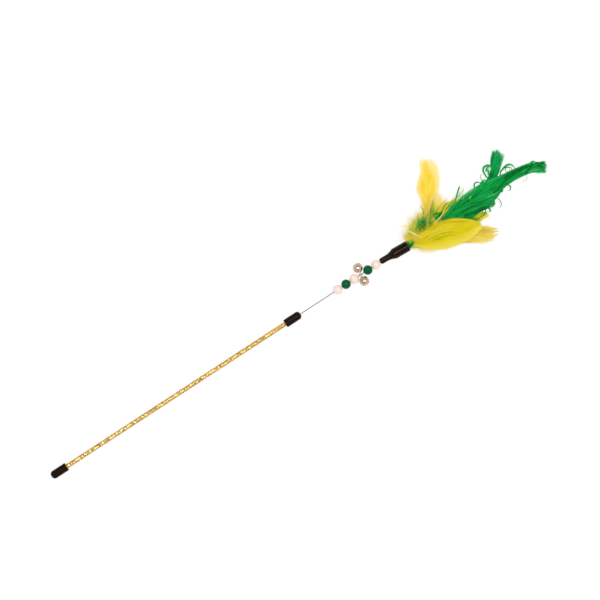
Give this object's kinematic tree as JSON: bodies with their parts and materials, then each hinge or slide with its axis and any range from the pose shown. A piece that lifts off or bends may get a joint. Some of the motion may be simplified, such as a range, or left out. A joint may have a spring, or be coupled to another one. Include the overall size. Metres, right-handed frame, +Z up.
{
  "type": "cat teaser wand",
  "caption": "Slim glitter rod with soft end caps, a springy wire strung with round beads and jingle bells, and a socket holding a bunch of feathers.",
  "frame": {"origin": "on the rod's axis, at the middle of the handle cap's straight wall", "axes": "+X along the rod from the handle to the feathers, +Y to the left seen from the handle, +Z up from the surface that the wand lies on"},
  "size_m": [0.6019, 0.1086, 0.0152],
  "materials": {
    "tube_plastic": "satin",
    "gold_glitter": "glitter",
    "black_vinyl": "satin",
    "spring_steel": "drawn",
    "blush_bead": "translucent",
    "green_bead": "gloss",
    "nickel_plate": "polished",
    "pellet_steel": "polished",
    "black_gloss": "gloss",
    "crimp_metal": "satin",
    "set_glue": "satin",
    "yellow_feather": "soft",
    "green_feather": "soft"
  },
  "bodies": {
    "handle": {"rod_tube": "tube_plastic", "glitter_film": "gold_glitter", "handle_cap": "black_vinyl", "wire_cap": "black_vinyl", "wire_anchor": "tube_plastic"},
    "wire": {"spring_wire": "spring_steel"},
    "lure": {"feather_socket": "black_gloss", "wire_crimp": "crimp_metal", "quill_plug": "set_glue", "yellow_upright": "yellow_feather", "yellow_front": "yellow_feather", "yellow_back": "yellow_feather", "yellow_upper": "yellow_feather", "yellow_lower": "yellow_feather", "yellow_tuft": "yellow_feather", "green_long": "green_feather", "green_upturned": "green_feather", "green_lower": "green_feather", "green_tuft": "green_feather"},
    "middle_bead": {"bead_3": "blush_bead"},
    "first_bead": {"bead_1": "blush_bead"},
    "second_bead": {"bead_2": "green_bead"},
    "fourth_bead": {"bead_4": "green_bead"},
    "fifth_bead": {"bead_5": "blush_bead"},
    "bell_a": {"bell_a_shell": "nickel_plate", "bell_a_shank": "nickel_plate"},
    "bell_b": {"bell_b_shell": "nickel_plate", "bell_b_shank": "nickel_plate"},
    "pellet_a": {"bell_a_pellet": "pellet_steel"},
    "pellet_b": {"bell_b_pellet": "pellet_steel"}
  },
  "joints": [
    {"name": "wire_side_bend", "type": "hinge", "parent": "handle", "child": "wire", "pos_m": [0.30295, 0, 0], "axis": [0, 0, 1], "range_deg": [-35, 35], "stiffness_Nm_per_rad": 0.09, "deforming": ["spring_wire"]},
    {"name": "wire_up_down_bend", "type": "hinge", "parent": "wire", "child": "lure", "pos_m": [0.31495, 0, 0], "axis": [0, 1, 0], "range_deg": [-35, 35], "stiffness_Nm_per_rad": 0.09, "deforming": ["spring_wire"]},
    {"name": "bead_string_slide", "type": "slide", "parent": "lure", "child": "middle_bead", "axis": [1, 0, 0], "range_m": [-0.014, 0]},
    {"name": "bead_1_spin", "type": "hinge", "parent": "middle_bead", "child": "first_bead", "pos_m": [0.3409, 0, 0], "axis": [1, 0, 0], "continuous": true},
    {"name": "bead_2_spin", "type": "hinge", "parent": "middle_bead", "child": "second_bead", "pos_m": [0.351, 0, 0], "axis": [1, 0, 0], "continuous": true},
    {"name": "bead_4_spin", "type": "hinge", "parent": "middle_bead", "child": "fourth_bead", "pos_m": [0.3778, 0, 0], "axis": [1, 0, 0], "continuous": true},
    {"name": "bead_5_spin", "type": "hinge", "parent": "middle_bead", "child": "fifth_bead", "pos_m": [0.3879, 0, 0], "axis": [1, 0, 0], "continuous": true},
    {"name": "bell_a_swing", "type": "hinge", "parent": "middle_bead", "child": "bell_a", "pos_m": [0.37037, 0, 0], "axis": [1, 0, 0], "range_deg": [-42, 42]},
    {"name": "bell_b_swing", "type": "hinge", "parent": "middle_bead", "child": "bell_b", "pos_m": [0.36853, 0, 0], "axis": [1, 0, 0], "range_deg": [-42, 42]},
    {"name": "pellet_a_roll", "type": "hinge", "parent": "bell_a", "child": "pellet_a", "pos_m": [0.37037, 0.00738, -0.0006], "axis": [1, 0, 0], "continuous": true},
    {"name": "pellet_b_roll", "type": "hinge", "parent": "bell_b", "child": "pellet_b", "pos_m": [0.36853, -0.00738, -0.0006], "axis": [1, 0, 0], "continuous": true}
  ]
}
